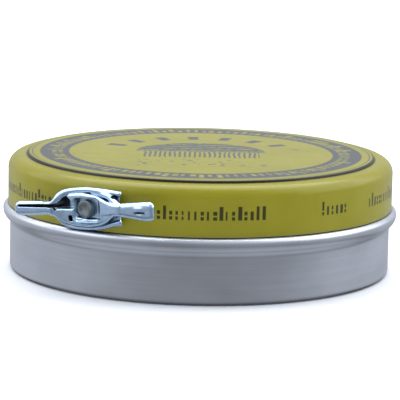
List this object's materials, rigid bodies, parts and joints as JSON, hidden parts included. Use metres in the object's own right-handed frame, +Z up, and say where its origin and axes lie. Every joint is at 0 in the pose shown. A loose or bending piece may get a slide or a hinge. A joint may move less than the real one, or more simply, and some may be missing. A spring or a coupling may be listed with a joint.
{
  "type": "shoe polish tin",
  "caption": "Round flat tinplate tin of wax shoe polish with a press-on lid and a winged turn key on its skirt that pries the lid off.",
  "frame": {"origin": "centre of the can's base, on the plane that its stand ring rests on", "axes": "+Z up along the tin's axis; the key's rivet points along -Y, and the key's wings lie about along X"},
  "size_m": [0.0912, 0.0933, 0.0268],
  "materials": {
    "bare_tinplate": "drawn bare tinplate, satin, faint draw bands",
    "polish_wax": "poured black wax, soft sheen",
    "printed_tinplate": "yellow lacquered tinplate with a dark grey-blue printed panel, glossy",
    "rivet_steel": "dull grey steel",
    "plated_strip": "bright plated steel strip, folded"
  },
  "bodies": {
    "base": {"base_can": "bare_tinplate", "shoe_polish": "polish_wax"},
    "lid": {"lid": "printed_tinplate", "key_rivet": "rivet_steel"},
    "key": {"opener_key": "plated_strip"}
  },
  "joints": [
    {"name": "lid_lift", "type": "slide", "parent": "base", "child": "lid", "axis": [0, 0, 1], "range_m": [0, 0.00628]},
    {"name": "key_turn", "type": "hinge", "parent": "lid", "child": "key", "pos_m": [0, -0.04446, 0.01988], "axis": [0, 1, 0], "range_deg": [0, 75]}
  ],
  "couplings": [
    {"joint": "key_turn", "follows": "lid_lift", "rad_per_m": 208.3}
  ]
}
